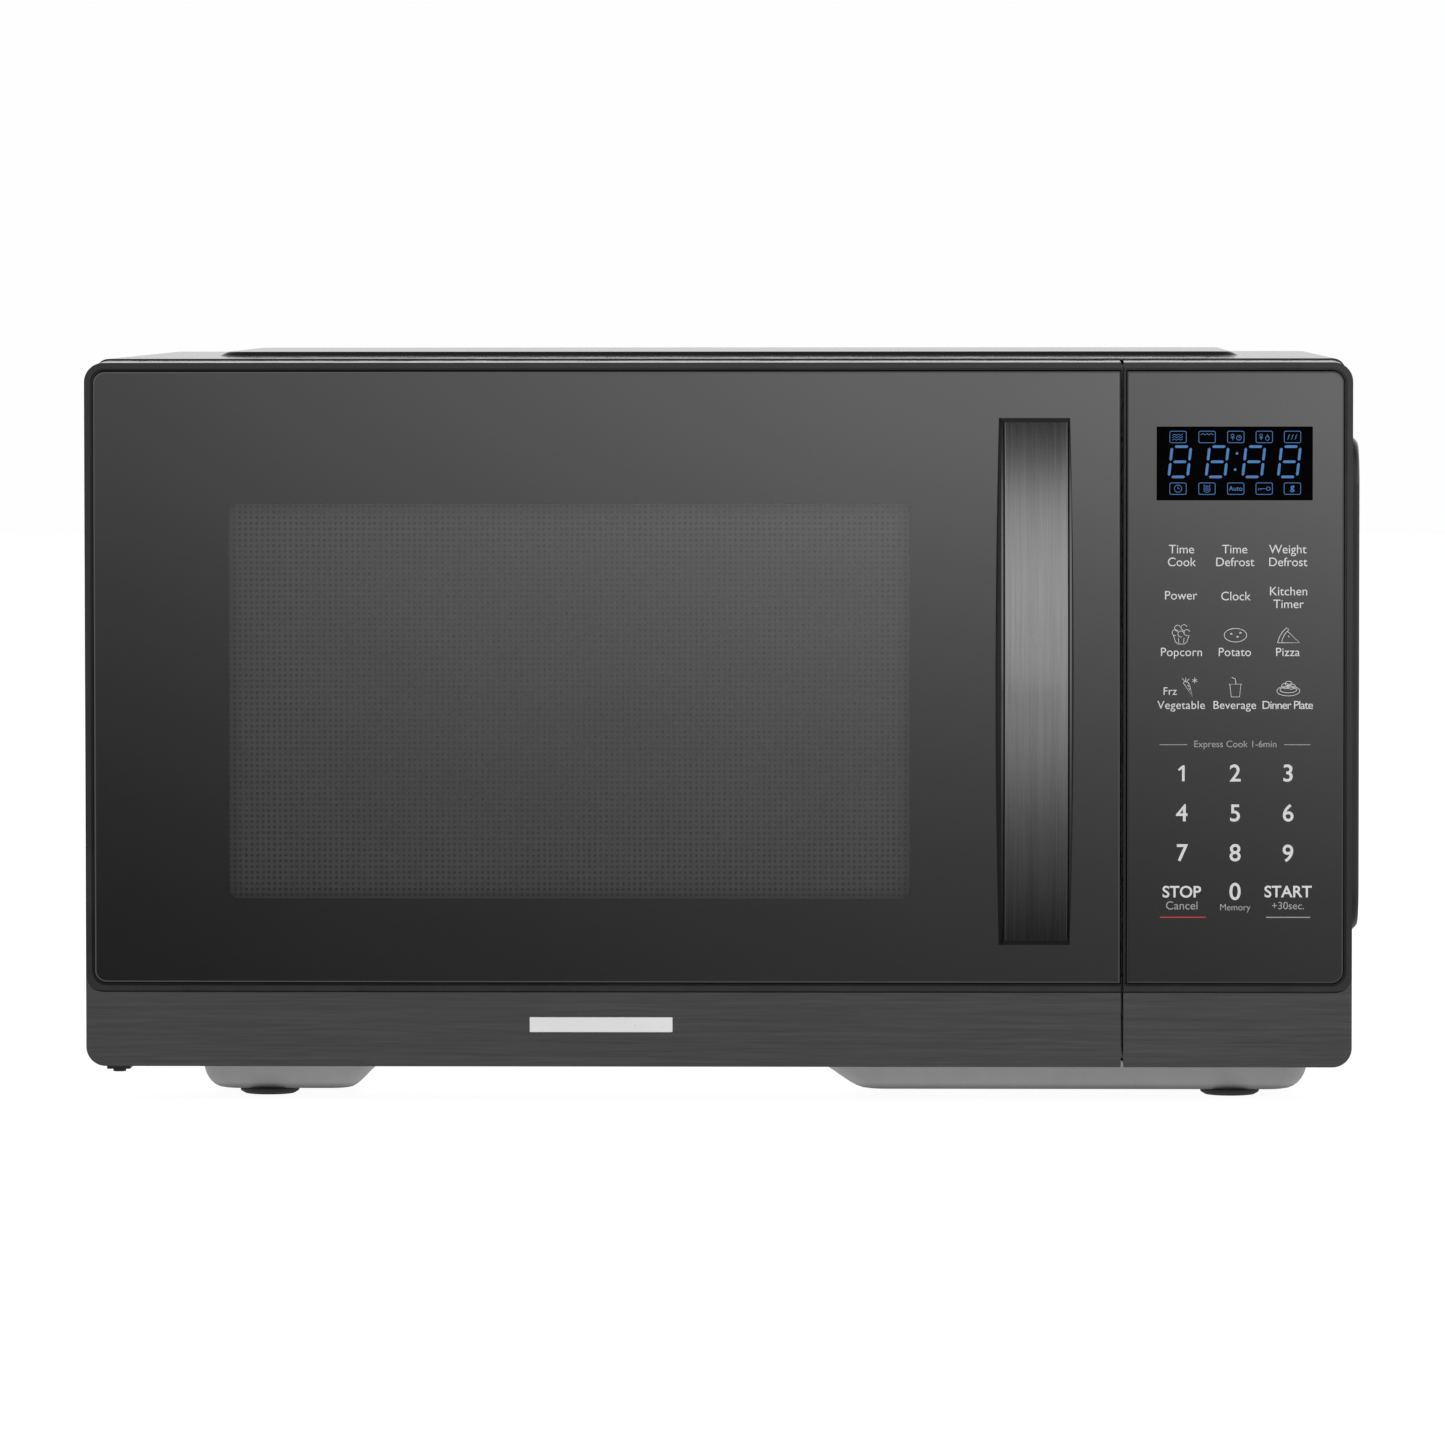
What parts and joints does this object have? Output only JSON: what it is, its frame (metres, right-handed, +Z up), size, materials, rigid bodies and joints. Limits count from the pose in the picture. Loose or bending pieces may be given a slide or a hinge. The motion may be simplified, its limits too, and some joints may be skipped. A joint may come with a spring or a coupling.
{
  "type": "microwave oven",
  "caption": "Countertop microwave oven with a side-hinged dark glass door, arched handle, touch control panel, glass turntable and full internal works.",
  "frame": {"origin": "on the floor, under the middle of the oven's overall box", "axes": "+X to the right seen from the front, +Y to the back, +Z up"},
  "size_m": [0.4984, 0.426, 0.288],
  "materials": {
    "cabinet_paint": "fine-textured satin powder coat",
    "galvanised_steel": "plain zinc-coated sheet",
    "cavity_enamel": "grey gloss enamel",
    "dark_glass": "polished, printed black on the back",
    "clear_glass": "polished clear",
    "window_film": "clear smoked sheet",
    "frame_plastic": "satin black plastic",
    "black_plastic": "matt black plastic",
    "white_plastic": "matt off-white plastic",
    "dark_brushed_metal": "dark anodised, brushed along its length",
    "handle_metal": "brushed along its length",
    "badge_metal": "satin",
    "screen_steel": "black painted perforated sheet",
    "rubber": "matt black rubber",
    "steel": "bright steel",
    "core_steel": "varnished laminated steel",
    "winding": "varnished winding wire",
    "aluminium": "plain aluminium",
    "circuit_board": "green solder mask",
    "mica": "pressed mica sheet",
    "lamp_glass": "clear lamp glass",
    "display": "dark display with blue segments"
  },
  "bodies": {
    "case": {"outer_cabinet": "cabinet_paint", "base_plate": "galvanised_steel", "rear_panel": "galvanised_steel", "rear_spacers": "black_plastic", "rubber_feet": "rubber", "cabinet_screws": "steel", "cord_gland": "black_plastic", "front_plate": "cavity_enamel", "cavity_box": "cavity_enamel", "waveguide": "galvanised_steel", "waveguide_cover": "mica", "magnetron_yoke": "galvanised_steel", "magnetron_tube": "aluminium", "transformer_core": "core_steel", "transformer_windings": "winding", "capacitor": "aluminium", "capacitor_clamp": "galvanised_steel", "high_voltage_diode": "black_plastic", "fan_shroud": "black_plastic", "fan_motor": "core_steel", "air_guide": "white_plastic", "lamp_holder": "white_plastic", "lamp_bulb": "lamp_glass", "thermal_cutouts": "black_plastic", "line_filter_board": "circuit_board", "turntable_motor": "steel", "control_housing": "frame_plastic", "control_glass": "dark_glass", "control_strip": "dark_brushed_metal", "display_module": "display", "control_board": "circuit_board", "board_components": "black_plastic", "lower_hinge_bracket": "steel", "upper_hinge_bracket": "steel", "latch_bracket": "white_plastic", "interlock_switches": "black_plastic"},
    "door": {"door_frame": "frame_plastic", "door_glass": "dark_glass", "door_trim_strip": "dark_brushed_metal", "badge_plate": "badge_metal", "door_panel": "screen_steel", "perforated_screen": "screen_steel", "choke_cover": "black_plastic", "inner_window": "window_film", "handle_body": "frame_plastic", "handle_face": "handle_metal", "handle_screws": "steel", "latch_spring": "steel"},
    "latch": {"latch_lever": "white_plastic"},
    "turntable": {"turntable_coupler": "white_plastic", "glass_tray": "clear_glass"},
    "roller_ring": {"roller_ring": "white_plastic"},
    "roller_1": {"turntable_roller_1": "white_plastic"},
    "roller_2": {"turntable_roller_2": "white_plastic"},
    "roller_3": {"turntable_roller_3": "white_plastic"},
    "fan": {"fan_blade": "white_plastic", "fan_shaft": "steel"},
    "plunger_1": {"switch_plunger_1": "white_plastic"},
    "plunger_2": {"switch_plunger_2": "white_plastic"},
    "plunger_3": {"switch_plunger_3": "white_plastic"}
  },
  "joints": [
    {"name": "door_hinge", "type": "hinge", "parent": "case", "child": "door", "pos_m": [-0.232, -0.163, 0.15], "axis": [0, 0, -1], "range_deg": [0, 105]},
    {"name": "latch_lift", "type": "slide", "parent": "door", "child": "latch", "axis": [0, 0, 1], "range_m": [0, 0.004], "stiffness_N_per_m": 300, "springref_m": -0.003, "deforming": ["latch_spring"]},
    {"name": "turntable_spin", "type": "hinge", "parent": "case", "child": "turntable", "pos_m": [-0.057, 0.0215, 0.05], "axis": [0, 0, 1], "continuous": true},
    {"name": "roller_ring_spin", "type": "hinge", "parent": "case", "child": "roller_ring", "pos_m": [-0.057, 0.0215, 0.045], "axis": [0, 0, 1], "continuous": true},
    {"name": "fan_spin", "type": "hinge", "parent": "case", "child": "fan", "pos_m": [0.178, 0.17, 0.19], "axis": [0, 1, 0], "continuous": true},
    {"name": "roller_1_spin", "type": "hinge", "parent": "roller_ring", "child": "roller_1", "pos_m": [0.041, 0.0215, 0.045], "axis": [1, 0, 0], "continuous": true},
    {"name": "roller_2_spin", "type": "hinge", "parent": "roller_ring", "child": "roller_2", "pos_m": [-0.106, 0.10637, 0.045], "axis": [-0.5, 0.866, 0], "continuous": true},
    {"name": "roller_3_spin", "type": "hinge", "parent": "roller_ring", "child": "roller_3", "pos_m": [-0.106, -0.06337, 0.045], "axis": [-0.5, -0.866, 0], "continuous": true},
    {"name": "switch_1_travel", "type": "slide", "parent": "case", "child": "plunger_1", "axis": [0, 1, 0], "range_m": [0, 0.0015], "stiffness_N_per_m": 400, "springref_m": -0.0005},
    {"name": "switch_2_travel", "type": "slide", "parent": "case", "child": "plunger_2", "axis": [0, 1, 0], "range_m": [0, 0.0015], "stiffness_N_per_m": 400, "springref_m": -0.0005},
    {"name": "switch_3_travel", "type": "slide", "parent": "case", "child": "plunger_3", "axis": [0, 1, 0], "range_m": [0, 0.0015], "stiffness_N_per_m": 400, "springref_m": -0.0005}
  ],
  "couplings": [
    {"joint": "roller_ring_spin", "follows": "turntable_spin", "ratio": 0.5},
    {"joint": "roller_1_spin", "follows": "turntable_spin", "ratio": -7.3134},
    {"joint": "roller_2_spin", "follows": "turntable_spin", "ratio": -7.3134},
    {"joint": "roller_3_spin", "follows": "turntable_spin", "ratio": -7.3134}
  ]
}
